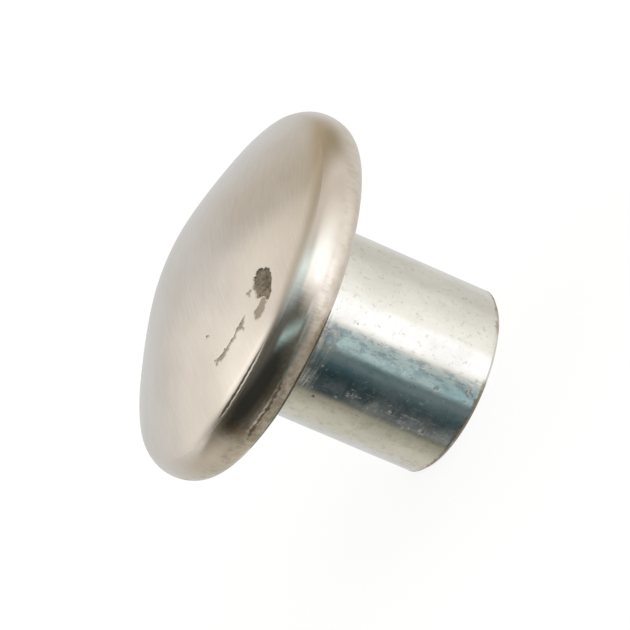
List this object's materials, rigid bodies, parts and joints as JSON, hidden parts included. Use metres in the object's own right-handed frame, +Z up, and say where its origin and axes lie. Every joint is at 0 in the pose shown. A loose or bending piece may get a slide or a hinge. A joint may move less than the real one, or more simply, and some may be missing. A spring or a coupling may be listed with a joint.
{
  "type": "rivet nut",
  "caption": "One-piece rivet nut: a wide domed head with a rounded rim on a plain round barrel, whose blind threaded hole takes a screw from the far side of the panels it joins.",
  "frame": {"origin": "centre of the barrel's open end, on the surface that the nut stands on", "axes": "+Z up along the axis, from the open end to the top of the dome; X and Y are free, because the nut is round"},
  "size_m": [0.0158, 0.0158, 0.0127],
  "materials": {
    "nickel_plate": "satin nickel plate with tarnish, pinholes and chipped spots"
  },
  "bodies": {
    "root": {"rivet_nut": "nickel_plate"}
  },
  "joints": []
}
